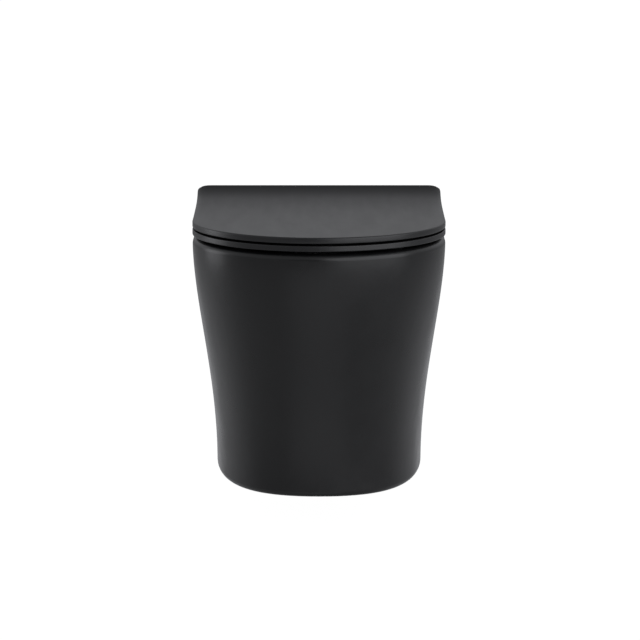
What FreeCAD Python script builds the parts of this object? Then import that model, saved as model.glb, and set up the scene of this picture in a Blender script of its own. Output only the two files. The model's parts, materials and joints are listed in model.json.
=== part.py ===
# Wall hung toilet: rimless ceramic pan with a slim soft-close seat and lid.
# Millimetres.  +Z is up, the front of the pan faces -Y, the wall is the plane Y = 0,
# and the origin is the midpoint between the two wall studs.
import FreeCAD, Part
import math
import os
from FreeCAD import Vector

# ---- ceramic pan -------------------------------------------------------------------------
pan_width = 360.0            # across the rim
pan_projection = 490.0       # wall to the front of the rim
pan_height = 348.5           # rim to underside
rim_above_studs = 80.0       # seat height 400 with studs 320 above the floor
base_width = 299.0           # across the skirt at the underside
base_setback = 48.0          # how far the underside's front lies behind the rim's front
rim_nose = 206.0             # length of the half-elliptic front at the rim
base_nose = 310.0            # the same at the underside
base_fullness = 1.12         # squareness of the underside's front, see quarter()
rim_band = 10.0              # upright band below the rim before the skirt draws in
taper_power = 1.55           # shape of the S-curve down the skirt
rim_edge_radius = 9.0
base_edge_radius = 7.0
skirt_wall = 11.0
deck_thickness = 14.0
floor_thickness = 11.0

# ---- bowl --------------------------------------------------------------------------------
rim_width_side = 50.0
rim_width_front = 44.0
rear_deck = 150.0            # wall to the bowl's mouth
bowl_depth = 325.0           # rim to the bottom of the sump
sump_half_width = 40.0
sump_front = 290.0           # wall to the front of the sump
sump_rear = 212.0            # wall to the back of the sump
bowl_wall = 10.0
bowl_power = 1.8             # how the bowl draws in towards the sump
bowl_mouth_radius = 6.0
sump_radius = 20.0

# ---- trapway, outlet and flush inlet -----------------------------------------------------
trap_bore = 62.0
trap_wall = 9.0
trap_below_studs = 222.0     # centre line of the dip
trap_start = 255.0           # wall to the trap's entry, inside the sump
trap_heel = 172.0            # wall to the corner at the dip
trap_crown = 104.0           # wall to the corner at the weir
trap_bend_radius = 50.0
outlet_below_studs = 100.0
spigot_diameter = 102.0
spigot_bore = 86.0
spigot_length = 50.0
spigot_recess = 10.0         # wall to the spigot's end
inlet_above_studs = 35.0
inlet_bore = 55.0
inlet_wall = 9.0
inlet_depth = 45.0
inlet_recess = 8.0
channel_width = 86.0         # flush channel from the inlet to the bowl
channel_height = 26.0
channel_wall = 9.0
channel_flat = 1.0           # upright flat left between the channel's rounded edges

# ---- stack of lid, seat and buffers above the rim ----------------------------------------
seat_gap = 3.6               # height of the seat buffers
seat_thickness = 8.0
lid_gap = 2.9                # height of the lid buffers
lid_thickness = 8.8
cover_overhang = 0.2         # seat and lid edge beyond the rim's edge
seat_rear = 94.0             # wall to the seat ring's straight rear edge
seat_mouth_width = 224.0
seat_mouth_front = 428.0     # wall to the front of the seat's opening
seat_mouth_rear = 158.0      # wall to the back of the seat's opening
seat_top_radius = 1.2
seat_bottom_radius = 1.2
mouth_edge_radius = 3.0

# ---- lid's raised back -------------------------------------------------------------------
crest_from_wall = 55.0       # wall to the ridge of the raised back
crest_width = 2.0
crest_rise = 23.1            # ridge above the flat of the lid
crest_steep_rise = 16.1      # part of the rise that fades quickly
crest_steep_length = 24.3    # distance in which that part falls to 1/e
ramp_length = 250.0          # length of the slow part
ramp_power = 2.0
shoulder_radius = 15.0
lid_edge_radius = 1.5
lid_bottom_radius = 1.2

# ---- hinges ------------------------------------------------------------------------------
hinge_spacing = 155.0        # between the two holes in the pan's deck
axis_above_rim = 25.0
hole_before_axis = 21.0      # deck hole in front of the hinge axis
knuckle_radius = 8.0
knuckle_to_lid = 1.0         # between the knuckles and the back face of the lid
post_width = 14.0
post_front = 8.0             # post's faces before and behind the axis
post_back = 4.0
pin_diameter = 6.0
damper_diameter = 12.0
rotor_diameter = 8.8
damper_wall = 1.5
damper_cap_length = 3.0
seat_knuckle_inner = 25.0    # distance from the middle to the seat knuckle's closed end
seat_arm_outer = 54.0
lid_knuckle_outer = 130.0    # distance from the middle to the lid knuckle's closed end
knuckle_end_wall = 3.0
arm_half_depth = 6.0
puck_diameter = 44.0
puck_top = 7.0               # above the deck
puck_edge_radius = 2.0
gasket_thickness = 1.0
plate_diameter = 36.0
plate_thickness = 2.5
screw_diameter = 6.0
screw_head_diameter = 12.0
screw_head_height = 3.3
deck_hole_diameter = 14.5
sleeve_diameter = 14.0
sleeve_length = 32.0
cone_nut_length = 12.0
cone_nut_tip = 9.0

# ---- buffers -----------------------------------------------------------------------------
seat_buffer_length = 26.0
seat_buffer_width = 12.0
seat_buffer_front = (104.0, 414.0)   # from the middle, and from the wall
seat_buffer_rear = (140.0, 195.0)
lid_buffer_diameter = 14.0
lid_buffer_front = (95.0, 409.0)
lid_buffer_rear = (140.0, 170.0)
peg_diameter = 5.0
peg_length = 4.0

# ---- concealed wall fixing ---------------------------------------------------------------
stud_spacing = 180.0
stud_diameter = 12.0         # M12
stud_clearance = 0.5         # radial, in the bracket and the washer
bracket_thickness = 6.0
bracket_corner_radius = 4.0
bracket_inner = 68.0         # distance from the middle to the bracket's inner edge
bracket_height = 50.0
arm_height = 32.0
arm_reach = 78.0
arm_outer = 124.0            # distance from the middle to the arm's outer face
side_hole_from_wall = 60.0
side_hole_diameter = 18.0
spot_face_diameter = 26.0
spot_face_depth = 3.0
bush_flange = 1.5
side_screw_diameter = 8.0
side_head_diameter = 13.0
side_head_height = 6.0
side_head_sink = 1.0         # head's outer face below the spot face
side_screw_tip = 2.0         # tip beyond the bracket's arm
cap_thickness = 2.2
cap_edge_radius = 1.5
washer_diameter = 24.0
washer_thickness = 2.5
nut_across_flats = 19.0
nut_height = 10.0

# ---- clearances --------------------------------------------------------------------------
fit_clearance = 0.05         # radial, between pieces of one body
running_clearance = 0.1      # radial, where one piece turns on another
side_clearance = 1.0         # axial, between knuckles and posts
loose_clearance = 0.2        # radial, for covers and bushes in ceramic holes

# ---- places worked out from the above ----------------------------------------------------
rim_z = rim_above_studs
base_z = rim_z - pan_height
seat_z = rim_z + seat_gap
lid_z = rim_z + seat_gap + seat_thickness + lid_gap
lid_top_z = lid_z + lid_thickness
axis_z = rim_z + axis_above_rim
lid_back_y = -(crest_from_wall - crest_width)
axis_y = lid_back_y + knuckle_radius + knuckle_to_lid
hinge_hole_y = axis_y - hole_before_axis
outlet_z = -outlet_below_studs
inlet_z = inlet_above_studs
post_inner = hinge_spacing / 2 - post_width / 2
post_outer = hinge_spacing / 2 + post_width / 2
sides = (("left", -1), ("right", 1))
ELLIPSE = math.sqrt(0.5)     # weight that makes a quarter() elliptical
overshoot = 5.0              # how far a cutting tool runs past what it cuts
overlap = 1.0                # how far two shapes of one piece run into each other
tolerance = 0.01             # for picking edges by their place
stud_hole_diameter = stud_diameter + 2 * stud_clearance
pin_inner = seat_knuckle_inner + 2 * knuckle_end_wall
pin_outer = lid_knuckle_outer - 2 * knuckle_end_wall


def quarter(side_x, side_y, tip_y, fullness, z):
    """Quarter of a plan outline, from its side to its tip on the plane X = 0.

    A fullness of ELLIPSE gives a quarter ellipse, and more gives a squarer one.
    """
    curve = Part.BezierCurve()
    curve.setPoles([Vector(side_x, side_y, z), Vector(side_x, tip_y, z), Vector(0, tip_y, z)])
    curve.setWeight(2, fullness)
    return curve.toShape()


def u_outline(half, nose, fullness, centre_y, rear_y, z):
    """Closed plan outline: straight sides, straight back and a rounded front."""
    edges = [
        Part.makeLine(Vector(-half, rear_y, z), Vector(-half, centre_y, z)),
        quarter(-half, centre_y, centre_y - nose, fullness, z),
        quarter(half, centre_y, centre_y - nose, fullness, z),
        Part.makeLine(Vector(half, centre_y, z), Vector(half, rear_y, z)),
        Part.makeLine(Vector(half, rear_y, z), Vector(-half, rear_y, z)),
    ]
    return Part.Wire(edges)


def oval_wire(half, front_y, rear_y, centre_y, z):
    """Closed egg-shaped outline with its widest place at centre_y."""
    edges = [
        quarter(-half, centre_y, front_y, ELLIPSE, z),
        quarter(half, centre_y, front_y, ELLIPSE, z),
        quarter(half, centre_y, rear_y, ELLIPSE, z),
        quarter(-half, centre_y, rear_y, ELLIPSE, z),
    ]
    return Part.Wire(edges)


def skirt_taper(z):
    """0 at the rim band and 1 at the underside."""
    share = (rim_z - rim_band - z) / (pan_height - rim_band)
    share = min(max(share, 0.0), 1.0)
    return math.sin(math.pi * share / 2) ** taper_power


def skirt_half_width(z):
    return pan_width / 2 - (pan_width - base_width) / 2 * skirt_taper(z)


spot_face_x = skirt_half_width(0.0) - spot_face_depth
head_seat_x = spot_face_x - side_head_height - side_head_sink


def skirt_section(z, inset, rear_y):
    taper = skirt_taper(z)
    nose = rim_nose + (base_nose - rim_nose) * taper
    front_y = -(pan_projection - base_setback * taper)
    fullness = ELLIPSE + (base_fullness - ELLIPSE) * taper
    half = skirt_half_width(z) - inset
    return u_outline(half, nose - inset, fullness, front_y + nose, rear_y, z)


def skirt_solid(low_z, high_z, inset, rear_y, stations=8):
    step = (high_z - low_z) / (stations - 1)
    wires = [skirt_section(low_z + i * step, inset, rear_y) for i in range(stations)]
    return Part.makeLoft(wires, True, False)


def bowl_share(z):
    """1 at the mouth and 0 at the bottom of the sump."""
    drop = min(max((rim_z - z) / bowl_depth, 0.0), 1.0)
    return math.cos(math.pi * drop / 2) ** bowl_power


def bowl_section(z, grow):
    share = bowl_share(z)
    mouth_half = pan_width / 2 - rim_width_side
    half = sump_half_width + (mouth_half - sump_half_width) * share
    front_y = -(sump_front + (pan_projection - rim_width_front - sump_front) * share)
    rear_y = -(sump_rear + (rear_deck - sump_rear) * share)
    mouth_centre = -(pan_projection - rim_nose)
    sump_centre = -(sump_front + sump_rear) / 2
    centre_y = sump_centre + (mouth_centre - sump_centre) * share
    return oval_wire(half + grow, front_y - grow, rear_y + grow, centre_y, z)


def bowl_solid(low_z, high_z, grow, stations=8):
    """Inside of the bowl, or its outside where grow is the wall, with a rounded bottom."""
    wall_low = low_z + sump_radius
    step = (high_z - wall_low) / (stations - 1)
    wires = [bowl_section(high_z - i * step, grow) for i in range(stations)]
    for degrees in (30, 60, 85):
        turn = math.radians(degrees)
        drop = sump_radius * math.sin(turn)
        inset = sump_radius * (1 - math.cos(turn))
        wires.append(bowl_section(wall_low - drop, grow - inset))
    return Part.makeLoft(wires, True, False)


def mouth_flare():
    """Tool that rounds the edge between the bowl's mouth and the rim."""
    wires = []
    for degrees in (0, 30, 60, 90):
        turn = math.radians(degrees)
        z = rim_z - bowl_mouth_radius * (1 - math.sin(turn))
        wires.append(bowl_section(z, bowl_mouth_radius * (1 - math.cos(turn)) - fit_clearance))
    return Part.makeLoft(wires, True, False)


def rounded_path(points, radius):
    """Straight runs joined by tangent arcs of one radius."""
    edges = []
    start = points[0]
    for before, corner, after in zip(points, points[1:], points[2:]):
        along = (corner - before).normalize()
        onward = (after - corner).normalize()
        turn = along.getAngle(onward)
        cut = radius * math.tan(turn / 2)
        arc_start = corner - along * cut
        arc_end = corner + onward * cut
        inward = (onward - along).normalize()
        centre = corner + inward * (radius / math.cos(turn / 2))
        middle = centre - inward * radius
        edges.append(Part.makeLine(start, arc_start))
        edges.append(Part.Arc(arc_start, middle, arc_end).toShape())
        start = arc_end
    edges.append(Part.makeLine(start, points[-1]))
    return Part.Wire(edges)


def pipe(path, radius):
    start = path.Vertexes[0].Point
    circle = Part.Wire([Part.makeCircle(radius, start, Vector(0, 1, 0))])
    return path.makePipeShell([circle], True, False)


def cylinder(radius, start, end):
    """Round bar from one point to another."""
    return Part.makeCylinder(radius, (end - start).Length, start, end - start)


def tube(outer, inner, start, end):
    """Round bar with a hole right through it."""
    along = (end - start).normalize() * overshoot
    return cylinder(outer, start, end).cut(cylinder(inner, start - along, end + along))


def box(x0, x1, y0, y1, z0, z1):
    low = Vector(min(x0, x1), min(y0, y1), min(z0, z1))
    return Part.makeBox(abs(x1 - x0), abs(y1 - y0), abs(z1 - z0), low)


def on_axis(x):
    """Point of the hinge axis."""
    return Vector(x, axis_y, axis_z)


def fillet_where(shape, radius, wanted):
    """Round the edges that the test picks by their middle point."""
    edges = []
    for edge in shape.Edges:
        middle = edge.valueAt((edge.FirstParameter + edge.LastParameter) / 2)
        if wanted(edge, middle):
            edges.append(edge)
    return shape.makeFillet(radius, edges)


def save(shape, name):
    solid = shape.removeSplitter()
    if not solid.isValid():
        print("not valid:", name)
    if len(solid.Solids) == 1:
        solid = solid.Solids[0]
    solid.exportStep("parts/" + name + ".step")


# ---- pan ---------------------------------------------------------------------------------

def trap_path(extra):
    """Centre line of the trapway, lengthened at both ends by extra."""
    dip_z = -trap_below_studs
    return rounded_path(
        [
            Vector(0, -(trap_start + extra), dip_z),
            Vector(0, -trap_heel, dip_z),
            Vector(0, -trap_crown, outlet_z),
            Vector(0, -(spigot_recess + spigot_length) + extra, outlet_z),
        ],
        trap_bend_radius,
    )


def flush_channel(grow, front_y, rear_y):
    width = channel_width / 2 + grow
    height = channel_height / 2 + grow
    block = box(-width, width, front_y, rear_y, inlet_z - height, inlet_z + height)
    return fillet_where(
        block,
        height - channel_flat / 2,
        lambda edge, middle: abs(abs(middle.x) - width) < tolerance
        and abs(abs(middle.z - inlet_z) - height) < tolerance,
    )


def make_pan():
    outside = skirt_solid(base_z, rim_z, 0.0, overshoot)
    outside = fillet_where(
        outside,
        rim_edge_radius,
        lambda edge, middle: abs(middle.z - rim_z) < tolerance and middle.y < -overlap,
    )
    outside = fillet_where(
        outside,
        base_edge_radius,
        lambda edge, middle: abs(middle.z - base_z) < tolerance and middle.y < -overlap,
    )
    behind_wall = box(-pan_width, pan_width, 0, 2 * overshoot, base_z, rim_z)
    outside = outside.cut(behind_wall)
    mouth = bowl_solid(rim_z - bowl_depth, rim_z + overshoot, 0.0)
    hollow = skirt_solid(
        base_z + floor_thickness, rim_z - deck_thickness, skirt_wall, 2 * overshoot
    )
    bowl = bowl_solid(rim_z - bowl_depth - bowl_wall, rim_z - deck_thickness / 2, bowl_wall)
    trap = pipe(trap_path(0.0), trap_bore / 2 + trap_wall)
    spigot_end = Vector(0, -spigot_recess, outlet_z)
    spigot_start = Vector(0, -(spigot_recess + spigot_length), outlet_z)
    collar = Vector(0, trap_wall, 0)
    spigot = cylinder(spigot_diameter / 2, spigot_start - collar, spigot_end)
    inlet_mouth = Vector(0, -inlet_recess, inlet_z)
    inlet_back = Vector(0, -(inlet_recess + inlet_depth), inlet_z)
    inlet_root = inlet_back - Vector(0, inlet_wall, 0)
    inlet = cylinder(inlet_bore / 2 + inlet_wall, inlet_root, inlet_mouth)
    channel = flush_channel(channel_wall, -rear_deck - bowl_wall / 2, inlet_root.y + overlap)
    pan = outside.cut(hollow)
    pan = pan.fuse([bowl.common(outside), trap, spigot, inlet, channel])
    pan = pan.cut(mouth)
    pan = pan.cut(mouth_flare())
    pan = pan.cut(pipe(trap_path(overlap), trap_bore / 2))
    pan = pan.cut(cylinder(spigot_bore / 2, spigot_start, spigot_end + Vector(0, overshoot, 0)))
    pan = pan.cut(cylinder(inlet_bore / 2, inlet_back, inlet_mouth + Vector(0, overshoot, 0)))
    pan = pan.cut(flush_channel(0.0, -rear_deck - bowl_wall, inlet_back.y))
    for _, side in sides:
        hole_x = side * hinge_spacing / 2
        top = Vector(hole_x, hinge_hole_y, rim_z + overshoot)
        bottom = Vector(hole_x, hinge_hole_y, rim_z - deck_thickness - overshoot)
        pan = pan.cut(cylinder(deck_hole_diameter / 2, bottom, top))
        pan = pan.cut(side_bore(side, side_hole_diameter / 2, arm_outer))
        pan = pan.cut(side_bore(side, spot_face_diameter / 2, spot_face_x))
    return pan


def side_bore(side, radius, from_x):
    """Hole across the skirt, level with the studs, from from_x out past the ceramic."""
    start = Vector(side * from_x, -side_hole_from_wall, 0)
    end = Vector(side * (pan_width / 2 + overshoot), -side_hole_from_wall, 0)
    return cylinder(radius, start, end)


# ---- seat --------------------------------------------------------------------------------

def cover_outline(rear_y, z):
    """Plan outline that the seat and the lid share."""
    half = pan_width / 2 + cover_overhang
    nose = rim_nose + cover_overhang
    return u_outline(half, nose, ELLIPSE, -(pan_projection - rim_nose), rear_y, z)


def prism(wire, height):
    return Part.Face(wire).extrude(Vector(0, 0, height))


def buffer_places(front, rear):
    """Name, x and y of four buffers, two at the front and two at the back."""
    places = []
    for end, (from_middle, from_wall) in (("front", front), ("rear", rear)):
        for name, side in sides:
            places.append((end + "_" + name, side * from_middle, -from_wall))
    return places


def make_seat():
    seat_top_z = seat_z + seat_thickness
    seat = prism(cover_outline(-seat_rear, seat_z), seat_thickness)
    seat = fillet_where(
        seat, seat_top_radius, lambda edge, middle: abs(middle.z - seat_top_z) < tolerance
    )
    seat = fillet_where(
        seat, seat_bottom_radius, lambda edge, middle: abs(middle.z - seat_z) < tolerance
    )
    mouth = oval_wire(
        seat_mouth_width / 2,
        -seat_mouth_front,
        -seat_mouth_rear,
        -(pan_projection - rim_nose),
        seat_z - overshoot,
    )
    seat = seat.cut(prism(mouth, seat_thickness + 2 * overshoot))
    seat = fillet_where(
        seat,
        mouth_edge_radius,
        lambda edge, middle: edge.BoundBox.ZLength < tolerance
        and edge.BoundBox.YMin > -seat_mouth_front - overlap
        and edge.BoundBox.YMax < -seat_mouth_rear + overlap,
    )
    for _, side in sides:
        inner = side * seat_knuckle_inner
        outer = side * (post_inner - side_clearance)
        arm = box(
            inner,
            side * seat_arm_outer,
            -seat_rear - overshoot,
            axis_y + arm_half_depth,
            seat_z,
            seat_top_z,
        )
        riser = box(
            inner,
            side * seat_arm_outer,
            axis_y - arm_half_depth,
            axis_y + arm_half_depth,
            seat_z,
            axis_z,
        )
        knuckle = cylinder(knuckle_radius, on_axis(inner), on_axis(outer))
        seat = seat.fuse([arm, riser, knuckle])
        blind = side * (seat_knuckle_inner + knuckle_end_wall)
        seat = seat.cut(
            cylinder(damper_diameter / 2 + fit_clearance, on_axis(blind), on_axis(outer + side * overshoot))
        )
    for _, x, y in buffer_places(seat_buffer_front, seat_buffer_rear):
        hole = cylinder(
            peg_diameter / 2 + fit_clearance,
            Vector(x, y, seat_z - overshoot),
            Vector(x, y, seat_z + peg_length + fit_clearance),
        )
        seat = seat.cut(hole)
    return seat


def make_seat_buffer(x, y):
    """Oblong rubber pad with a peg, lying across the rim."""
    straight = (seat_buffer_length - seat_buffer_width) / 2
    radius = seat_buffer_width / 2
    pad = box(x - straight, x + straight, y - radius, y + radius, rim_z, seat_z)
    ends = [
        cylinder(radius, Vector(x + shift, y, rim_z), Vector(x + shift, y, seat_z))
        for shift in (-straight, straight)
    ]
    peg = cylinder(peg_diameter / 2, Vector(x, y, seat_z), Vector(x, y, seat_z + peg_length))
    return pad.fuse(ends + [peg])


# ---- lid ---------------------------------------------------------------------------------

def lid_rise(distance):
    """Height of the lid's top above its flat, at a distance in front of the ridge."""
    steep = crest_steep_rise * math.exp(-distance / crest_steep_length)
    gentle = (crest_rise - crest_steep_rise) * max(1 - distance / ramp_length, 0.0) ** ramp_power
    return steep + gentle


def lid_side_profile():
    """Section of the lid in the plane X = 0, wider than the lid at its front."""
    front_y = -pan_projection - overshoot
    crest_y = -crest_from_wall
    distances = [0, 4, 9, 16, 25, 37, 54, 80, 120, 180, ramp_length]
    points = [Vector(0, crest_y - d, lid_top_z + lid_rise(d)) for d in distances]
    ramp = Part.BSplineCurve()
    ramp.interpolate(Points=points)
    flat_end = points[-1]
    crest_top = points[0]
    corners = [
        flat_end,
        Vector(0, front_y, flat_end.z),
        Vector(0, front_y, lid_z),
        Vector(0, lid_back_y, lid_z),
        Vector(0, lid_back_y, crest_top.z),
        crest_top,
    ]
    edges = [Part.makeLine(a, b) for a, b in zip(corners, corners[1:])]
    return Part.Wire([ramp.toShape()] + edges)


def lid_front_profile():
    """Upright outline of the lid from the front, with rounded shoulders."""
    half = pan_width / 2 + cover_overhang
    top = lid_top_z + crest_rise
    low = lid_z - overshoot
    front_y = -pan_projection - overshoot
    shape = box(-half, half, front_y, 0, low, top)
    return fillet_where(
        shape,
        shoulder_radius,
        lambda edge, middle: abs(middle.z - top) < tolerance
        and abs(abs(middle.x) - half) < tolerance,
    )


def lid_top_edge(edge, middle):
    """Whether an edge runs round the lid's top, and not across it or along a seam."""
    across = edge.BoundBox.XLength > pan_width / 2 + overshoot
    seam = edge.BoundBox.ZLength < tolerance and middle.z > lid_top_z + tolerance
    high = middle.z > lid_top_z - tolerance
    return high and middle.y < lid_back_y - tolerance and not across and not seam


def make_lid():
    profile = Part.Face(lid_side_profile())
    slab_width = pan_width + 2 * overshoot
    slab = profile.extrude(Vector(slab_width, 0, 0))
    slab.translate(Vector(-slab_width / 2, 0, 0))
    plan = prism(cover_outline(lid_back_y, lid_z), lid_thickness + crest_rise + overshoot)
    lid = slab.common(plan).common(lid_front_profile())
    lid = lid.removeSplitter()
    lid = fillet_where(
        lid,
        lid_bottom_radius,
        lambda edge, middle: abs(middle.z - lid_z) < tolerance and middle.y < lid_back_y - tolerance,
    )
    lid = fillet_where(lid, lid_edge_radius, lid_top_edge)
    for _, side in sides:
        inner = side * (post_outer + side_clearance)
        outer = side * lid_knuckle_outer
        web = box(
            inner, outer, lid_back_y - overlap, axis_y, axis_z - knuckle_radius, axis_z + knuckle_radius
        )
        knuckle = cylinder(knuckle_radius, on_axis(inner), on_axis(outer))
        lid = lid.fuse([web, knuckle])
        blind = side * (lid_knuckle_outer - knuckle_end_wall)
        lid = lid.cut(
            cylinder(damper_diameter / 2 + fit_clearance, on_axis(inner - side * overshoot), on_axis(blind))
        )
    for _, x, y in buffer_places(lid_buffer_front, lid_buffer_rear):
        hole = cylinder(
            peg_diameter / 2 + fit_clearance,
            Vector(x, y, lid_z - overshoot),
            Vector(x, y, lid_z + peg_length + fit_clearance),
        )
        lid = lid.cut(hole)
    return lid


def make_lid_buffer(x, y):
    pad = cylinder(lid_buffer_diameter / 2, Vector(x, y, lid_z - lid_gap), Vector(x, y, lid_z))
    peg = cylinder(peg_diameter / 2, Vector(x, y, lid_z), Vector(x, y, lid_z + peg_length))
    return pad.fuse(peg)


# ---- hinges ------------------------------------------------------------------------------

def deck_point(side, above):
    """Point over the deck hole at a height above the deck."""
    return Vector(side * hinge_spacing / 2, hinge_hole_y, rim_z + above)


def make_gasket(side):
    return tube(
        puck_diameter / 2,
        deck_hole_diameter / 2,
        deck_point(side, 0),
        deck_point(side, gasket_thickness),
    )


def screw_cone(side, grow):
    """Countersunk head of the fixing screw."""
    top = gasket_thickness + plate_thickness
    tip = screw_diameter / 2 + grow
    rim = screw_head_diameter / 2 + grow
    start = deck_point(side, top - screw_head_height)
    return Part.makeCone(tip, rim, screw_head_height, start, Vector(0, 0, 1))


def make_fixing_plate(side):
    top = gasket_thickness + plate_thickness
    plate = tube(
        plate_diameter / 2,
        screw_diameter / 2 + loose_clearance,
        deck_point(side, gasket_thickness),
        deck_point(side, top),
    )
    return plate.cut(screw_cone(side, fit_clearance))


def make_fixing_screw(side):
    top = gasket_thickness + plate_thickness
    shank = cylinder(
        screw_diameter / 2,
        deck_point(side, -(sleeve_length + cone_nut_length)),
        deck_point(side, top - screw_head_height),
    )
    return shank.fuse(screw_cone(side, 0.0))


def make_sleeve(side):
    return tube(
        sleeve_diameter / 2,
        screw_diameter / 2 + loose_clearance,
        deck_point(side, -sleeve_length),
        deck_point(side, 0),
    )


def make_cone_nut(side):
    low = deck_point(side, -(sleeve_length + cone_nut_length))
    body = Part.makeCone(
        sleeve_diameter / 2, cone_nut_tip / 2, cone_nut_length, low, Vector(0, 0, 1)
    )
    hole = cylinder(
        screw_diameter / 2 + fit_clearance,
        low - Vector(0, 0, overshoot),
        deck_point(side, overshoot),
    )
    return body.cut(hole)


def make_hinge_post(side):
    """Round cover over the fixing plate, with the upright post that carries the pin."""
    recess_top = gasket_thickness + plate_thickness + loose_clearance
    puck = cylinder(puck_diameter / 2, deck_point(side, gasket_thickness), deck_point(side, puck_top))
    puck = fillet_where(
        puck,
        puck_edge_radius,
        lambda edge, middle: edge.isClosed() and abs(middle.z - rim_z - puck_top) < tolerance,
    )
    puck = puck.cut(
        cylinder(
            plate_diameter / 2 + loose_clearance,
            deck_point(side, 0),
            deck_point(side, recess_top),
        )
    )
    stem = box(
        side * post_inner,
        side * post_outer,
        axis_y - post_front,
        axis_y + post_back,
        rim_z + recess_top + overlap,
        axis_z,
    )
    head = cylinder(knuckle_radius, on_axis(side * post_inner), on_axis(side * post_outer))
    post = puck.fuse([stem, head])
    return post.cut(
        cylinder(
            pin_diameter / 2 + fit_clearance,
            on_axis(side * (post_inner - overshoot)),
            on_axis(side * (post_outer + overshoot)),
        )
    )


def make_hinge_pin(side):
    return cylinder(pin_diameter / 2, on_axis(side * pin_inner), on_axis(side * pin_outer))


def make_bush(side, near_x, far_x):
    return tube(
        damper_diameter / 2,
        pin_diameter / 2 + running_clearance,
        on_axis(side * near_x),
        on_axis(side * far_x),
    )


def make_damper(side, open_x, closed_x):
    """Housing, end cap and rotor of a rotary damper.

    The housing's open end, which the cap shuts, is at open_x, beside the hinge post.
    """
    step = math.copysign(1.0, closed_x - open_x)
    cap_x = open_x + step * damper_cap_length
    floor_x = closed_x - step * damper_wall
    bore = rotor_diameter / 2 + running_clearance
    housing = cylinder(damper_diameter / 2, on_axis(side * cap_x), on_axis(side * closed_x))
    housing = housing.cut(
        cylinder(bore, on_axis(side * (cap_x - step * overshoot)), on_axis(side * floor_x))
    )
    housing = housing.cut(
        cylinder(
            pin_diameter / 2 + running_clearance,
            on_axis(side * (floor_x - step)),
            on_axis(side * (closed_x + step * overshoot)),
        )
    )
    cap = tube(
        damper_diameter / 2,
        pin_diameter / 2 + running_clearance,
        on_axis(side * open_x),
        on_axis(side * cap_x),
    )
    rotor = tube(
        rotor_diameter / 2,
        pin_diameter / 2 + fit_clearance,
        on_axis(side * (cap_x + step * running_clearance)),
        on_axis(side * (floor_x - step * running_clearance)),
    )
    return housing, cap, rotor


# ---- wall fixing -------------------------------------------------------------------------

def stud_point(side, from_wall):
    return Vector(side * stud_spacing / 2, -from_wall, 0)


def make_bracket(side):
    inner = side * bracket_inner
    outer = side * arm_outer
    plate = box(inner, outer, -bracket_thickness, 0, -bracket_height / 2, bracket_height / 2)
    arm = box(
        side * (arm_outer - bracket_thickness),
        outer,
        -arm_reach,
        0,
        -arm_height / 2,
        arm_height / 2,
    )
    bracket = plate.fuse(arm).removeSplitter()
    bracket = fillet_where(
        bracket,
        bracket_corner_radius,
        lambda edge, middle: edge.Length < bracket_thickness + tolerance
        and (middle.y < -arm_reach + tolerance or abs(middle.x - inner) < tolerance),
    )
    bracket = bracket.cut(
        cylinder(stud_hole_diameter / 2, stud_point(side, arm_reach), stud_point(side, -overshoot))
    )
    return bracket.cut(
        side_bore(side, side_screw_diameter / 2 + fit_clearance, arm_outer - 2 * bracket_thickness)
    )


def make_washer(side):
    return tube(
        washer_diameter / 2,
        stud_hole_diameter / 2,
        stud_point(side, bracket_thickness + washer_thickness),
        stud_point(side, bracket_thickness),
    )


def make_nut(side):
    face = bracket_thickness + washer_thickness
    corner = nut_across_flats / math.sqrt(3)
    centre = stud_point(side, face + nut_height)
    corners = [
        centre + Vector(corner * math.cos(math.pi * i / 3), 0, corner * math.sin(math.pi * i / 3))
        for i in range(7)
    ]
    body = Part.Face(Part.makePolygon(corners)).extrude(Vector(0, nut_height, 0))
    stud_bore = stud_diameter / 2 + running_clearance
    return body.cut(
        cylinder(stud_bore, stud_point(side, face + nut_height + overshoot), stud_point(side, 0))
    )


def side_point(side, x):
    return Vector(side * x, -side_hole_from_wall, 0)


def make_side_bush(side):
    """Flanged plastic bush that centres the side screw in the ceramic."""
    inner_x = skirt_half_width(0.0) - skirt_wall
    barrel = cylinder(
        side_hole_diameter / 2 - loose_clearance, side_point(side, inner_x), side_point(side, spot_face_x)
    )
    flange = cylinder(
        spot_face_diameter / 2 - loose_clearance,
        side_point(side, spot_face_x),
        side_point(side, spot_face_x + bush_flange),
    )
    bush = barrel.fuse(flange)
    bush = bush.cut(side_bore(side, side_screw_diameter / 2 + loose_clearance, arm_outer))
    return bush.cut(side_bore(side, side_head_diameter / 2 + loose_clearance, head_seat_x))


def make_side_screw(side):
    tip_x = arm_outer - bracket_thickness - side_screw_tip
    shank = cylinder(side_screw_diameter / 2, side_point(side, tip_x), side_point(side, head_seat_x))
    head = cylinder(
        side_head_diameter / 2,
        side_point(side, head_seat_x),
        side_point(side, head_seat_x + side_head_height),
    )
    screw = shank.fuse(head)
    key = side_head_height / 2
    corners = [
        side_point(side, head_seat_x + key)
        + Vector(0, key * math.cos(math.pi * i / 3), key * math.sin(math.pi * i / 3))
        for i in range(7)
    ]
    socket = Part.Face(Part.makePolygon(corners)).extrude(Vector(side * side_head_height, 0, 0))
    return screw.cut(socket)


def make_side_cap(side):
    start = side_point(side, spot_face_x + bush_flange)
    end = side_point(side, spot_face_x + bush_flange + cap_thickness)
    cap = cylinder(spot_face_diameter / 2 - loose_clearance, start, end)
    return fillet_where(
        cap, cap_edge_radius, lambda edge, middle: abs(middle.x - end.x) < tolerance and edge.isClosed()
    )


# ---- build everything --------------------------------------------------------------------

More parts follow.
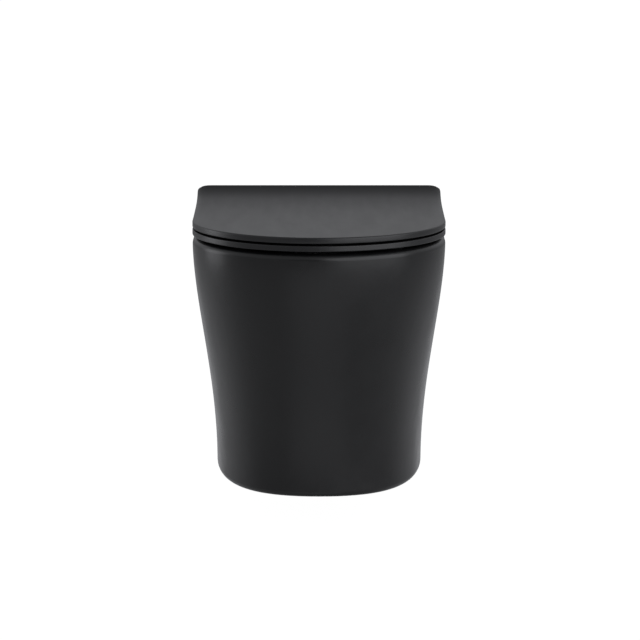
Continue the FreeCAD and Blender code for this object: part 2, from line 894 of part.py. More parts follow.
def main():
    os.makedirs("parts", exist_ok=True)
    save(make_pan(), "pan")
    save(make_seat(), "seat_ring")
    save(make_lid(), "lid")
    for place, x, y in buffer_places(seat_buffer_front, seat_buffer_rear):
        save(make_seat_buffer(x, y), "seat_buffer_" + place)
    for place, x, y in buffer_places(lid_buffer_front, lid_buffer_rear):
        save(make_lid_buffer(x, y), "lid_buffer_" + place)
    for name, side in sides:
        save(make_gasket(side), "hinge_gasket_" + name)
        save(make_fixing_plate(side), "hinge_plate_" + name)
        save(make_fixing_screw(side), "hinge_screw_" + name)
        save(make_sleeve(side), "expanding_sleeve_" + name)
        save(make_cone_nut(side), "cone_nut_" + name)
        save(make_hinge_post(side), "hinge_post_" + name)
        save(make_hinge_pin(side), "hinge_pin_" + name)
        save(make_bracket(side), "wall_bracket_" + name)
        save(make_washer(side), "stud_washer_" + name)
        save(make_nut(side), "stud_nut_" + name)
        save(make_side_bush(side), "side_bush_" + name)
        save(make_side_screw(side), "side_screw_" + name)
        save(make_side_cap(side), "side_cap_" + name)
    seat_near = post_inner - side_clearance
    seat_far = seat_knuckle_inner + knuckle_end_wall
    lid_near = post_outer + side_clearance
    lid_far = lid_knuckle_outer - knuckle_end_wall
    save(make_bush(1, seat_near, seat_far), "seat_bush")
    save(make_bush(-1, lid_near, lid_far), "lid_bush")
    for name, side, near, far in (
        ("seat_damper", -1, seat_near, seat_far),
        ("lid_damper", 1, lid_near, lid_far),
    ):
        housing, cap, rotor = make_damper(side, near, far)
        save(housing, name + "_housing")
        save(cap, name + "_cap")
        save(rotor, name + "_rotor")


main()
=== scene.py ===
"""Looks of a wall hung toilet with a satin black pan, seat and lid.

Metres.  +Z is up, the front of the pan faces -Y, the wall is the plane Y = 0, and
the origin is the midpoint between the two wall studs.
"""
import json
import math

import bmesh
import bpy
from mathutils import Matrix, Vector
from mathutils.bvhtree import BVHTree


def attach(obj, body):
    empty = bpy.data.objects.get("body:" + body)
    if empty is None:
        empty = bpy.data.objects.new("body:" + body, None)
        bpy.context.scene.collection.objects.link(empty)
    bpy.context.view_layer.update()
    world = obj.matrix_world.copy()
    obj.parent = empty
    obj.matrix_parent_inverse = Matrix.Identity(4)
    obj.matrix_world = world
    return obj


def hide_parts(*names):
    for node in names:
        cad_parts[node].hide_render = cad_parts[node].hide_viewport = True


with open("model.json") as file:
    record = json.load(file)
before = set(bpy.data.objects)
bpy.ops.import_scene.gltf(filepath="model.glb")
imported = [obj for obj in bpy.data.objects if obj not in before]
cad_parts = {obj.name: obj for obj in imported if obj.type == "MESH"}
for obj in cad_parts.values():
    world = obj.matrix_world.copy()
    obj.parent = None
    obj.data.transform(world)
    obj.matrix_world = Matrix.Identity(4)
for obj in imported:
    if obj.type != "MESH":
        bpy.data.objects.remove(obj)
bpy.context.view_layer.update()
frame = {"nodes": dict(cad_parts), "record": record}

nodes = frame["nodes"]
scene = bpy.context.scene
MM = 0.001

# ---- camera: a long lens, a little above the lid, looking along +Y -------------------------------
LENS = 213.75                # on a 36 mm sensor
CAMERA_PLACE = Vector((1.45, -5656.5, 764.4)) * MM
CAMERA_PITCH = 8.53          # degrees below the horizon
CAMERA_SIGHT = 100           # metres that the camera sees, which is past the floor's edge

camera_data = bpy.data.cameras.new("camera")
camera_data.lens = LENS
camera_data.clip_end = CAMERA_SIGHT
camera = bpy.data.objects.new("camera", camera_data)
camera.location = CAMERA_PLACE
camera.rotation_euler = (math.radians(90 - CAMERA_PITCH), 0, 0)
scene.collection.objects.link(camera)
scene.camera = camera


# ---- colours and nodes ---------------------------------------------------------------------------
def linear(hex_colour):
    """Linear RGBA of an sRGB hex colour."""
    def channel(pair):
        value = int(pair, 16) / 255
        return value / 12.92 if value <= 0.04045 else ((value + 0.055) / 1.055) ** 2.4
    return (*(channel(hex_colour[i:i + 2]) for i in (0, 2, 4)), 1)


def lumps(size_mm):
    """Pattern scale that gives lumps of a real size."""
    return 1 / (size_mm * MM)


def add(tree, kind, inputs=None, **settings):
    """Add one node.  Each input, by name or number, takes a socket's link or a value."""
    node = tree.nodes.new(kind)
    for name, value in settings.items():
        setattr(node, name, value)
    for key, value in (inputs or {}).items():
        if isinstance(value, bpy.types.NodeSocket):
            tree.links.new(value, node.inputs[key])
        else:
            node.inputs[key].default_value = value
    return node


def new_material(name):
    material = bpy.data.materials.new(name)
    material.use_nodes = True
    tree = material.node_tree
    tree.nodes.clear()
    return material, tree


def coat(tree, colour, roughness, normal, finish):
    """Put colour, gloss and relief on the surface.  The finish holds what is even all over."""
    links = {"Base Color": colour, "Roughness": roughness, "Normal": normal}
    shader = add(tree, "ShaderNodeBsdfPrincipled", {**links, **finish})
    add(tree, "ShaderNodeOutputMaterial", {"Surface": shader.outputs[0]})


# ---- materials -----------------------------------------------------------------------------------
# a noise keeps mostly to the middle of its range, and this is the part of it that gets used
CLOUD_RANGE = {"From Min": 0.3, "From Max": 0.7}
FIRST, SECOND, MIXED = 6, 7, 2   # numbers of a colour mix's two inputs and of its result


def matt_black_glaze():
    """Satin kiln glaze: soft wide highlights, a faint orange peel, fine pin grain, bare clay at the wall."""
    material, tree = new_material("matt_black_glaze")
    place = add(tree, "ShaderNodeTexCoord").outputs["Object"]
    cloud = add(tree, "ShaderNodeTexNoise", {"Vector": place, "Scale": lumps(35), "Detail": 4})
    peel = add(tree, "ShaderNodeTexNoise", {"Vector": place, "Scale": lumps(7)})
    grain = add(tree, "ShaderNodeTexNoise", {"Vector": place, "Scale": lumps(0.5)})
    crumbs = add(tree, "ShaderNodeTexNoise", {"Vector": place, "Scale": lumps(2), "Detail": 5})
    shade = add(tree, "ShaderNodeMapRange", {**CLOUD_RANGE, "Value": cloud.outputs[0]})
    satin = add(tree, "ShaderNodeMapRange", {
        **CLOUD_RANGE, "Value": cloud.outputs[0], "To Min": 0.27, "To Max": 0.31})
    glaze = add(tree, "ShaderNodeMix", {
        "Factor": shade.outputs[0], FIRST: linear("0E0E0F"), SECOND: linear("121213")}, data_type="RGBA")
    clay = add(tree, "ShaderNodeMix", {
        "Factor": crumbs.outputs[0], FIRST: linear("CFC7B6"), SECOND: linear("E4DDCE")}, data_type="RGBA")
    bare = add(tree, "ShaderNodeAttribute", attribute_name="bare_clay").outputs["Fac"]
    colour = add(tree, "ShaderNodeMix", {
        "Factor": bare, FIRST: glaze.outputs[MIXED], SECOND: clay.outputs[MIXED]}, data_type="RGBA")
    # clay has no gloss: its roughness is 0.5 above the glaze's
    roughness = add(tree, "ShaderNodeMath", {0: bare, 1: 0.5, 2: satin.outputs[0]}, operation="MULTIPLY_ADD")
    waves = add(tree, "ShaderNodeBump", {"Height": peel.outputs[0], "Distance": 0.006 * MM})
    pins = add(tree, "ShaderNodeBump", {
        "Height": grain.outputs[0], "Distance": 0.002 * MM, "Normal": waves.outputs[0]})
    coat(tree, colour.outputs[MIXED], roughness.outputs[0], pins.outputs[0], {"IOR": 1.5})
    return material


def satin_black_duroplast():
    """Pressed urea resin: even satin black with a fine tool grain and slight wipe marks."""
    material, tree = new_material("satin_black_duroplast")
    place = add(tree, "ShaderNodeTexCoord").outputs["Object"]
    wiped = add(tree, "ShaderNodeMapping", {"Vector": place, "Scale": (1, 0.15, 1)})
    wipes = add(tree, "ShaderNodeTexNoise", {"Vector": wiped.outputs[0], "Scale": lumps(18), "Detail": 3})
    cloud = add(tree, "ShaderNodeTexNoise", {"Vector": place, "Scale": lumps(60), "Detail": 3})
    press = add(tree, "ShaderNodeTexNoise", {"Vector": place, "Scale": lumps(12)})
    grain = add(tree, "ShaderNodeTexNoise", {"Vector": place, "Scale": lumps(0.35)})
    shade = add(tree, "ShaderNodeMapRange", {**CLOUD_RANGE, "Value": cloud.outputs[0]})
    satin = add(tree, "ShaderNodeMapRange", {
        **CLOUD_RANGE, "Value": wipes.outputs[0], "To Min": 0.33, "To Max": 0.37})
    colour = add(tree, "ShaderNodeMix", {
        "Factor": shade.outputs[0], FIRST: linear("101012"), SECOND: linear("131315")}, data_type="RGBA")
    waves = add(tree, "ShaderNodeBump", {"Height": press.outputs[0], "Distance": 0.005 * MM})
    marks = add(tree, "ShaderNodeBump", {
        "Height": grain.outputs[0], "Distance": 0.002 * MM, "Normal": waves.outputs[0]})
    coat(tree, colour.outputs[MIXED], satin.outputs[0], marks.outputs[0], {"IOR": 1.55})
    return material


def moulded(name, dark, light, roughness, grain_mm, height_mm, finish):
    """Moulded or sprayed part: cloudy colour, uneven gloss and a grain of a real size."""
    material, tree = new_material(name)
    place = add(tree, "ShaderNodeTexCoord").outputs["Object"]
    cloud = add(tree, "ShaderNodeTexNoise", {"Vector": place, "Scale": lumps(9), "Detail": 4})
    dents = add(tree, "ShaderNodeTexNoise", {"Vector": place, "Scale": lumps(5)})
    grain = add(tree, "ShaderNodeTexNoise", {"Vector": place, "Scale": lumps(grain_mm)})
    shade = add(tree, "ShaderNodeMapRange", {**CLOUD_RANGE, "Value": cloud.outputs[0]})
    gloss = add(tree, "ShaderNodeMapRange", {
        **CLOUD_RANGE, "Value": cloud.outputs[0], "To Min": roughness - 0.05, "To Max": roughness + 0.05})
    colour = add(tree, "ShaderNodeMix", {
        "Factor": shade.outputs[0], FIRST: linear(dark), SECOND: linear(light)}, data_type="RGBA")
    waves = add(tree, "ShaderNodeBump", {"Height": dents.outputs[0], "Distance": 2 * height_mm * MM})
    marks = add(tree, "ShaderNodeBump", {
        "Height": grain.outputs[0], "Distance": height_mm * MM, "Normal": waves.outputs[0]})
    coat(tree, colour.outputs[MIXED], gloss.outputs[0], marks.outputs[0], finish)
    return material


def stainless_steel():
    """Turned and brushed steel: fine lines along the part that spread the highlight."""
    material, tree = new_material("brushed_stainless_steel")
    place = add(tree, "ShaderNodeTexCoord").outputs["Object"]
    drawn = add(tree, "ShaderNodeMapping", {"Vector": place, "Scale": (0.02, 1, 1)})
    rubbed = add(tree, "ShaderNodeMapping", {"Vector": place, "Scale": (0.3, 1, 1)})
    lines = add(tree, "ShaderNodeTexNoise", {"Vector": drawn.outputs[0], "Scale": lumps(0.25), "Detail": 4})
    smear = add(tree, "ShaderNodeTexNoise", {"Vector": rubbed.outputs[0], "Scale": lumps(6), "Detail": 3})
    colour = add(tree, "ShaderNodeMix", {
        "Factor": smear.outputs[0], FIRST: linear("B9B8B3"), SECOND: linear("CFCEC9")}, data_type="RGBA")
    gloss = add(tree, "ShaderNodeMapRange", {
        **CLOUD_RANGE, "Value": smear.outputs[0], "To Min": 0.24, "To Max": 0.36})
    brushed = add(tree, "ShaderNodeBump", {"Height": lines.outputs[0], "Distance": 0.004 * MM})
    coat(tree, colour.outputs[MIXED], gloss.outputs[0], brushed.outputs[0], {"Metallic": 1.0})
    return material


def galvanised_steel():
    """Hot dip zinc: crystal spangle a few millimetres wide, dull and slightly lumpy."""
    material, tree = new_material("hot_dip_zinc")
    place = add(tree, "ShaderNodeTexCoord").outputs["Object"]
    spangle = add(tree, "ShaderNodeTexVoronoi", {"Vector": place, "Scale": lumps(6)})
    crystal = add(tree, "ShaderNodeSeparateColor", {"Color": spangle.outputs["Color"]})
    runs = add(tree, "ShaderNodeTexNoise", {"Vector": place, "Scale": lumps(4), "Detail": 3})
    colour = add(tree, "ShaderNodeMix", {
        "Factor": crystal.outputs[0], FIRST: linear("9DA2A5"), SECOND: linear("BCC0C2")}, data_type="RGBA")
    gloss = add(tree, "ShaderNodeMapRange", {
        **CLOUD_RANGE, "Value": crystal.outputs[0], "To Min": 0.38, "To Max": 0.55})
    lumpy = add(tree, "ShaderNodeBump", {"Height": runs.outputs[0], "Distance": 0.03 * MM})
    edges = add(tree, "ShaderNodeBump", {
        "Height": crystal.outputs[0], "Distance": 0.01 * MM, "Normal": lumpy.outputs[0]})
    coat(tree, colour.outputs[MIXED], gloss.outputs[0], edges.outputs[0], {"Metallic": 1.0})
    return material


def turned_brass():
    """Brass off the lathe: rings round the screw's axis and a few dull stains."""
    material, tree = new_material("turned_brass")
    place = add(tree, "ShaderNodeTexCoord").outputs["Object"]
    # this wave repeats three times in its size, so the rings are 2.5 mm apart: real ones are too fine to show
    rings = add(
        tree, "ShaderNodeTexWave", {"Vector": place, "Scale": lumps(8), "Distortion": 0.4},
        wave_type="BANDS", bands_direction="Z")
    stain = add(tree, "ShaderNodeTexNoise", {"Vector": place, "Scale": lumps(5), "Detail": 4})
    shade = add(tree, "ShaderNodeMapRange", {**CLOUD_RANGE, "Value": stain.outputs[0]})
    colour = add(tree, "ShaderNodeMix", {
        "Factor": shade.outputs[0], FIRST: linear("B48F45"), SECOND: linear("D3B065")}, data_type="RGBA")
    gloss = add(tree, "ShaderNodeMapRange", {
        **CLOUD_RANGE, "Value": stain.outputs[0], "To Min": 0.38, "To Max": 0.26})
    turned = add(tree, "ShaderNodeBump", {"Height": rings.outputs["Fac"], "Distance": 0.006 * MM})
    coat(tree, colour.outputs[MIXED], gloss.outputs[0], turned.outputs[0], {"Metallic": 1.0})
    return material


slot_materials = {
    "black_glaze": matt_black_glaze(),
    "seat_plastic": satin_black_duroplast(),
    # soft EPDM pads: dull with a moulded grain that scatters light
    "buffer_rubber": moulded("moulded_epdm_pad", "1C1C1D", "262627", 0.72, 0.4, 0.015, {"IOR": 1.52}),
    # thin flat gasket, duller still, with a pale bloom
    "gasket_rubber": moulded("sheet_epdm_gasket", "19191A", "2B2B2B", 0.82, 0.7, 0.02, {"IOR": 1.52}),
    "stainless_steel": stainless_steel(),
    "galvanised_steel": galvanised_steel(),
    "brass": turned_brass(),
    # natural nylon: milky, with light that sinks in a little
    "sleeve_nylon": moulded(
        "natural_nylon", "D9D5C6", "E6E3D8", 0.48, 0.6, 0.006,
        {"IOR": 1.53, "Subsurface Weight": 0.25, "Subsurface Scale": 1.5 * MM},
    ),
    # black powder coat: tight orange peel that breaks up the highlight
    "hinge_cover_paint": moulded("black_powder_coat", "101011", "141415", 0.34, 1.2, 0.008, {"IOR": 1.5}),
    # caps moulded in the seat's black
    "cap_plastic": moulded("black_cap_plastic", "111112", "151516", 0.38, 0.5, 0.005, {"IOR": 1.5}),
    # dark grey acetal of the damper bodies, slick and a little waxy
    "damper_plastic": moulded("grey_acetal", "3A3B3D", "444547", 0.33, 0.5, 0.004, {"IOR": 1.48}),
}
node_slots = {part["node"]: part["material_slot"] for part in frame["record"]["subparts"]}
for name, node in nodes.items():
    for slot in node.material_slots:
        slot.material = slot_materials[node_slots[name]]


# ---- bare clay: glaze covers only what shows and what carries water ------------------------------
RIM_Z, BOWL_DEPTH, BOWL_POWER = 80.0, 325.0, 1.8     # all in mm, as in the CAD model
MOUTH = (130.0, -446.0, -150.0, -284.0)  # half width, front, back and widest place
SUMP = (40.0, -290.0, -212.0, -251.0)
HALF_WALL = 5.0              # from the bowl's inside to the middle of its wall
TRAP_CORNERS = ((-255.0, -222.0), (-172.0, -222.0), (-104.0, -100.0), (0.0, -100.0))
TRAP_BEND, TRAP_REACH = 50.0, 35.5   # bend radius, and centre line to mid-wall
SPIGOT_REACH, SPIGOT_START = 47.0, -62.0
INLET_Z, INLET_REACH = 35.0, 32.0
CHANNEL_HALF, CHANNEL_HALF_HEIGHT, CHANNEL_START = 47.0, 17.0, -50.0
BEND_STEPS = 8               # of each of the trap's two arcs
CUT_END, REARWARD = 0.9, 0.5     # a normal's share of +Y on a pipe's cut end, and on the casting's back
FEELER_TILT = Vector((0, -0.3, 0))   # leans the feeling rays away from the open back


def trap_line():
    """Centre line of the trap in (y, z), with its two bends drawn as arcs."""
    corners = [Vector(corner) for corner in TRAP_CORNERS]
    line = [corners[0]]
    for before, corner, after in zip(corners, corners[1:], corners[2:]):
        back, on = (before - corner).normalized(), (after - corner).normalized()
        half_turn = (math.pi - back.angle(on)) / 2
        start = corner + back * TRAP_BEND * math.tan(half_turn)
        end = corner + on * TRAP_BEND * math.tan(half_turn)
        weight = math.cos(half_turn)
        for i in range(BEND_STEPS + 1):
            t = i / BEND_STEPS
            a, b, c = (1 - t) ** 2, 2 * t * (1 - t) * weight, t * t
            line.append((start * a + corner * b + end * c) / (a + b + c))
    return line + [corners[-1]]


def wet(x, y, z, line):
    """Whether water reaches a point: in the bowl, the inlet, the flush channel, the spigot or the trap."""
    drop = (RIM_Z - z) / BOWL_DEPTH
    if drop < 1:
        share = math.cos(math.pi / 2 * max(drop, 0.0)) ** BOWL_POWER
        half, front, back, middle = (s + (m - s) * share for m, s in zip(MOUTH, SUMP))
        length = middle - front if y < middle else back - middle
        if math.hypot(x / (half + HALF_WALL), (y - middle) / (length + HALF_WALL)) < 1:
            return True
    if math.hypot(x, z - INLET_Z) < INLET_REACH:
        return True
    if y < CHANNEL_START and abs(x) < CHANNEL_HALF and abs(z - INLET_Z) < CHANNEL_HALF_HEIGHT:
        return True
    if y > SPIGOT_START and math.hypot(x, z - TRAP_CORNERS[-1][1]) < SPIGOT_REACH:
        return True
    spot = Vector((y, z))
    for a, b in zip(line, line[1:]):
        along = min(max((spot - a).dot(b - a) / (b - a).length_squared, 0.0), 1.0)
        if math.hypot(x, (spot - a - (b - a) * along).length) < TRAP_REACH:
            return True
    return False


def mark_bare_clay(pan):
    """Face attribute that is 1 on the casting's hollow side and on its back, which stay unglazed.

    A face is in the hollow, the bowl or a pipe if a ray from it meets the casting again.  The
    faces that water wets are then taken out.
    """
    mesh = pan.data
    corners = [vertex.co for vertex in mesh.vertices]
    tree = BVHTree.FromPolygons(corners, [list(face.vertices) for face in mesh.polygons])
    line = trap_line()
    bare = []
    for face in mesh.polygons:
        x, y, z = face.center / MM
        cut_end = face.normal.y > CUT_END and y > SPIGOT_START
        met = tree.ray_cast(face.center + face.normal * MM, face.normal + FEELER_TILT)[0]
        enclosed = met is not None or face.normal.y > REARWARD
        bare.append(float(cut_end or enclosed and not wet(x, y, z, line)))
    mesh.attributes.new("bare_clay", "FLOAT", "FACE").data.foreach_set("value", bare)


mark_bare_clay(nodes["pan"])


# ---- lid: a slab that sweeps up to a ridge, with two hinge barrels behind it ---------------------
HALF_WIDTH = 180.2           # all in mm, as in the CAD model unless a comment says otherwise
NOSE, NOSE_START = 206.2, -284.0     # half-elliptic front
LID_LOW, LID_FLAT, LID_BACK = 94.5, 103.3, -53.0
BACK_CORNER = 3.0
CREST_RISE, CREST_STEEP, STEEP_LENGTH, RAMP_LENGTH = 23.1, 16.1, 24.3, 250.0
SHOULDER_WIDTH, SHOULDER_DROP, SHOULDER_POWER = 20.0, 0.5, 2.5   # matched to the photo's corners
TOP_ROUND, BOTTOM_ROUND = 2.0, 1.4   # softer than the CAD edges, as in the photo
MIDDLE = (0.0, -270.0)       # point to which the slab's rings shrink
BACK_STEPS, CORNER_STEPS, SIDE_STEPS, NOSE_STEPS = 40, 8, 36, 90     # of half the outline
UNDER_RINGS, UNDER_SHRINK = 10, 0.95     # rings of the underside, and how far they close in
TOP_RINGS, TOP_SHRINK, TOP_CROWDING = 60, 0.98, 1.5      # of the top, closer together at the edge
AXIS_Y, AXIS_Z = -44.0, 105.0
BARREL_RADIUS, BARREL_BORE, BARREL_FRONT = 8.0, 6.05, 10.0
BARREL_ENDS = (130.0, 85.5)  # closed and open end, from the middle
BORE_BOTTOM = 127.0
BARREL_ROUND, BORE_CHAMFER = 0.8, 0.4
AROUND = 64                  # points round a barrel
SHARP_EDGE = 40              # degrees above which an edge isn't smoothed
NEARLY_ZERO = 1e-6


def lid_outline():
    """Plan outline from the middle of the back, as (x, y, normal x, normal y)."""
    right = [((HALF_WIDTH - BACK_CORNER) * i / BACK_STEPS, LID_BACK, 0.0, 1.0) for i in range(BACK_STEPS)]
    for i in range(CORNER_STEPS + 1):
        turn = math.radians(90 - 90 * i / CORNER_STEPS)
        nx, ny = math.cos(turn), math.sin(turn)
        centre = (HALF_WIDTH - BACK_CORNER, LID_BACK - BACK_CORNER)
        right.append((centre[0] + BACK_CORNER * nx, centre[1] + BACK_CORNER * ny, nx, ny))
    side = LID_BACK - BACK_CORNER - NOSE_START
    for i in range(1, SIDE_STEPS):
        right.append((HALF_WIDTH, NOSE_START + side * (1 - i / SIDE_STEPS), 1.0, 0.0))
    for i in range(NOSE_STEPS):
        turn = math.radians(90 * i / NOSE_STEPS)
        nx, ny = math.cos(turn) / HALF_WIDTH, -math.sin(turn) / NOSE
        length = math.hypot(nx, ny)
        x, y = HALF_WIDTH * math.cos(turn), NOSE_START - NOSE * math.sin(turn)
        right.append((x, y, nx / length, ny / length))
    left = [(-x, y, -nx, ny) for x, y, nx, ny in reversed(right[1:])]
    return right + [(0.0, NOSE_START - NOSE, 0.0, -1.0)] + left


def lid_top(x, y):
    """Height of the lid's top: flat in front, rising to the ridge, lower at the shoulders."""
    ahead = max(LID_BACK - TOP_ROUND - y, 0.0)
    rise = CREST_STEEP * math.exp(-ahead / STEEP_LENGTH)
    rise += (CREST_RISE - CREST_STEEP) * max(1 - ahead / RAMP_LENGTH, 0.0) ** 2
    out = min(max((abs(x) - HALF_WIDTH + SHOULDER_WIDTH) / SHOULDER_WIDTH, 0.0), 1.0)
    drop = SHOULDER_DROP * (1 - (1 - out ** SHOULDER_POWER) ** (1 / SHOULDER_POWER))
    return LID_FLAT + rise * (1 - drop)


def inset(outline, distance, scale=1.0):
    """Outline moved inward by a distance, then shrunk towards the middle."""
    ring = []
    for x, y, nx, ny in outline:
        x, y = x - nx * distance, y - ny * distance
        ring.append((MIDDLE[0] + (x - MIDDLE[0]) * scale, MIDDLE[1] + (y - MIDDLE[1]) * scale))
    return ring


def skin(bm, loops, first, last):
    """Quads between neighbouring closed loops, and a fan on the first and the last."""
    loops = [[bm.verts.new(point) for point in loop] for loop in loops]
    for low, high in zip(loops, loops[1:]):
        for i in range(len(low)):
            j = (i + 1) % len(low)
            bm.faces.new((low[i], low[j], high[j], high[i]))
    for loop, centre in ((loops[0], first), (loops[-1], last)):
        middle = bm.verts.new(centre)
        for i in range(len(loop)):
            bm.faces.new((loop[i], loop[(i + 1) % len(loop)], middle))


def add_lid_slab(bm):
    """Loops from the middle of the underside, round the rounded edge, to the middle of the top."""
    outline = lid_outline()
    loops = []
    for i in range(UNDER_RINGS, 0, -1):
        ring = inset(outline, BOTTOM_ROUND, 1 - UNDER_SHRINK * i / UNDER_RINGS)
        loops.append([(x, y, LID_LOW) for x, y in ring])
    for degrees in range(0, 91, 15):
        turn = math.radians(degrees)
        z = LID_LOW + BOTTOM_ROUND * (1 - math.cos(turn))
        loops.append([(x, y, z) for x, y in inset(outline, BOTTOM_ROUND * (1 - math.sin(turn)))])
    shoulder = [lid_top(x, y) for x, y in inset(outline, TOP_ROUND)]
    for degrees in range(0, 91, 10):
        turn = math.radians(degrees)
        ring = inset(outline, TOP_ROUND * (1 - math.cos(turn)))
        loop = []
        for (x, y), (edge_x, edge_y, _, _), high in zip(ring, outline, shoulder):
            low = lid_top(edge_x, edge_y) - TOP_ROUND
            loop.append((x, y, low + (high - low) * math.sin(turn)))
        loops.append(loop)
    for i in range(1, TOP_RINGS + 1):
        ring = inset(outline, TOP_ROUND, 1 - TOP_SHRINK * (i / TOP_RINGS) ** TOP_CROWDING)
        loops.append([(x, y, lid_top(x, y)) for x, y in ring])
    skin(bm, loops, (*MIDDLE, LID_LOW), (*MIDDLE, lid_top(*MIDDLE)))


def barrel_ring(x, shrink):
    """Barrel's section: round behind the axis, square in front, where it meets the slab."""
    ring = []
    for i in range(AROUND):
        turn = 2 * math.pi * i / AROUND
        behind, up = math.cos(turn), math.sin(turn)
        reach = BARREL_RADIUS - shrink
        if behind < 0:
            reach = min(reach / max(abs(up), NEARLY_ZERO), BARREL_FRONT / abs(behind))
        ring.append((x, AXIS_Y + reach * behind, AXIS_Z + reach * up))
    return ring


def bore_ring(x, radius):
    turns = [2 * math.pi * i / AROUND for i in range(AROUND)]
    return [(x, AXIS_Y + radius * math.cos(t), AXIS_Z + radius * math.sin(t)) for t in turns]


def add_barrel(bm, side):
    """Hinge barrel with rounded ends, closed at the outer one and bored from the inner one."""
    closed, open_end = BARREL_ENDS
    turns = [math.radians(degrees) for degrees in (0, 30, 60, 90)]
    steps = [(BARREL_ROUND * (1 - math.sin(turn)), BARREL_ROUND * (1 - math.cos(turn))) for turn in turns]
    loops = [barrel_ring(side * (closed - along), shrink) for shrink, along in steps]
    loops += [barrel_ring(side * (open_end + along), shrink) for shrink, along in reversed(steps)]
    loops.append(bore_ring(side * open_end, BARREL_BORE + BORE_CHAMFER))
    loops.append(bore_ring(side * (open_end + BORE_CHAMFER), BARREL_BORE))
    loops.append(bore_ring(side * BORE_BOTTOM, BARREL_BORE))
    skin(bm, loops, (side * closed, AXIS_Y, AXIS_Z), (side * BORE_BOTTOM, AXIS_Y, AXIS_Z))


def make_lid():
    bm = bmesh.new()
    add_lid_slab(bm)
    for side in (-1, 1):
        add_barrel(bm, side)
    bmesh.ops.recalc_face_normals(bm, faces=bm.faces)
    bmesh.ops.scale(bm, vec=(MM, MM, MM), verts=bm.verts)
    mesh = bpy.data.meshes.new("lid_shell")
    bm.to_mesh(mesh)
    bm.free()
    mesh.shade_smooth()
    mesh.set_sharp_from_angle(angle=math.radians(SHARP_EDGE))
    mesh.materials.append(slot_materials["seat_plastic"])
    shell = bpy.data.objects.new("lid_shell", mesh)
    scene.collection.objects.link(shell)
    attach(shell, "lid")
    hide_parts("lid")


make_lid()


# ---- floor and lights ----------------------------------------------------------------------------
FLOOR_Z = -0.320             # the finished floor below the studs
FLOOR_HALF = 30.0            # half the floor's side
AIM = Vector((0, -0.25, -0.05))      # the middle of the object, which the softboxes face
COOL_WHITE = (0.985, 0.995, 1.03)    # the studio lamps lean slightly to blue
# levels of light in the studio, each against one component of the direction it comes from
FRONT_LEVELS = (             # by height: a pale floor in front, a dark horizon, soft light above
    (-1, 0.35), (-0.6, 0.7), (-0.32, 0.7), (-0.22, 0.4), (-0.13, 0.06),
    (0, 0.1), (0.3, 0.36), (0.6, 0.4), (1, 0.3),
)
BACK_LEVELS = (              # by height: more even light at the sides and behind
    (-1, 0.3), (-0.4, 0.4), (-0.25, 0.36), (-0.15, 0.24), (0, 0.25),
    (0.15, 0.385), (0.4, 0.48), (0.7, 0.38), (1, 0.3),
)
GLOW_LEVELS = ((-1, 0.5), (-0.28, 1.4), (-0.18, 0.8), (-0.1, 0))     # by height: the lit floor far behind
BACK_SHARE = ((-0.97, 0), (-0.7, 1))     # along Y: from the front levels to the back ones
GLOW_SHARE = ((0.91, 0), (0.98, 1))      # along Y: how much of the glow
scene.view_settings.view_transform = "Standard"


def plain_floor():
    """Pale floor that neither tints nor mirrors in the object."""
    corners = [(x * FLOOR_HALF, y * FLOOR_HALF, FLOOR_Z) for x, y in ((-1, -1), (1, -1), (1, 1), (-1, 1))]
    mesh = bpy.data.meshes.new("floor")
    mesh.from_pydata(corners, [], [(0, 1, 2, 3)])
    floor = bpy.data.objects.new("floor", mesh)
    scene.collection.objects.link(floor)
    material, tree = new_material("pale_floor")
    shader = add(tree, "ShaderNodeBsdfPrincipled", {
        "Base Color": linear("303030"), "Roughness": 0.9,
        "Emission Color": linear("FFFFFF"), "Emission Strength": 0.99})
    add(tree, "ShaderNodeOutputMaterial", {"Surface": shader.outputs[0]})
    mesh.materials.append(material)
    floor.visible_glossy = False
    floor.visible_diffuse = False
    floor.visible_shadow = False


def studio_levels(tree, component, levels):
    """Light against a direction's component, which runs from -1 to 1."""
    place = add(tree, "ShaderNodeMath", {0: component, 1: 0.5, 2: 0.5}, operation="MULTIPLY_ADD")
    node = add(tree, "ShaderNodeValToRGB", {"Fac": place.outputs[0]})
    elements = node.color_ramp.elements
    while len(elements) < len(levels):
        elements.new(0.5)
    for element, (along, level) in zip(elements, levels):
        element.position = along / 2 + 0.5
        element.color = (*(level * part for part in COOL_WHITE), 1)
    return node.outputs[0]


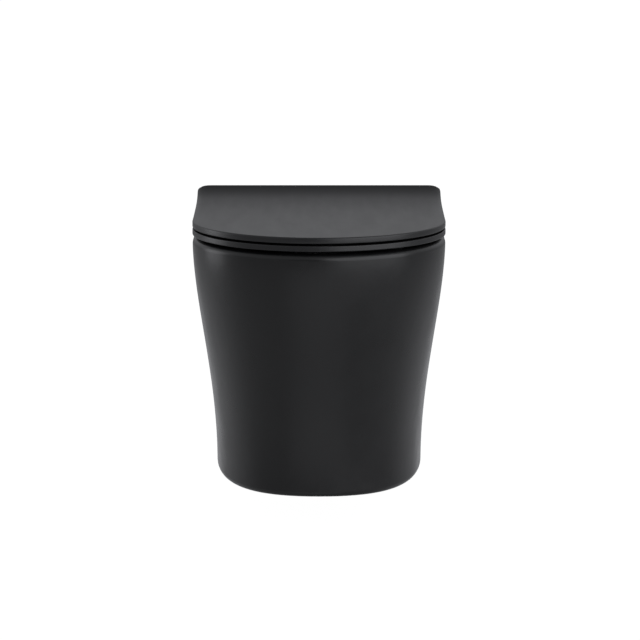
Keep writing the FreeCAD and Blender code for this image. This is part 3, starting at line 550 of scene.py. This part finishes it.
def studio_world():
    """Soft light from all round that lights the object.  The camera itself sees plain white."""
    world = bpy.data.worlds.new("studio")
    world.use_nodes = True
    tree = world.node_tree
    tree.nodes.clear()
    direction = add(tree, "ShaderNodeTexCoord").outputs["Generated"]
    axes = add(tree, "ShaderNodeSeparateXYZ", {"Vector": direction}).outputs
    soft = add(tree, "ShaderNodeMix", {
        "Factor": studio_levels(tree, axes["Y"], BACK_SHARE),
        FIRST: studio_levels(tree, axes["Z"], FRONT_LEVELS),
        SECOND: studio_levels(tree, axes["Z"], BACK_LEVELS),
    }, data_type="RGBA")
    lit = add(tree, "ShaderNodeMix", {
        "Factor": studio_levels(tree, axes["Y"], GLOW_SHARE),
        FIRST: soft.outputs[MIXED],
        SECOND: studio_levels(tree, axes["Z"], GLOW_LEVELS),
    }, data_type="RGBA", blend_type="LIGHTEN")
    path = add(tree, "ShaderNodeLightPath")
    seen = add(tree, "ShaderNodeMix", {
        "Factor": path.outputs["Is Camera Ray"], FIRST: lit.outputs[MIXED], SECOND: (1, 1, 1, 1),
    }, data_type="RGBA")
    background = add(tree, "ShaderNodeBackground", {"Color": seen.outputs[MIXED]})
    add(tree, "ShaderNodeOutputWorld", {"Surface": background.outputs[0]})
    scene.world = world


def softbox(name, azimuth, elevation, distance, width, height, power):
    """Soft rectangular light.  Azimuth 0 is in front of the pan and 90 is on its right."""
    turn, rise = math.radians(azimuth), math.radians(elevation)
    away = Vector((math.sin(turn) * math.cos(rise), -math.cos(turn) * math.cos(rise), math.sin(rise)))
    data = bpy.data.lights.new(name, "AREA")
    data.shape = "RECTANGLE"
    data.size, data.size_y = width, height
    data.energy = power
    data.color = COOL_WHITE
    light = bpy.data.objects.new(name, data)
    light.location = AIM + away * distance
    light.rotation_euler = away.to_track_quat("Z", "Y").to_euler()
    scene.collection.objects.link(light)


plain_floor()
studio_world()
softbox("right_softbox", 50, 17, 2.5, 4.1, 2.4, 38)
softbox("left_softbox", -112, 6, 2.5, 1.0, 1.3, 5.5)
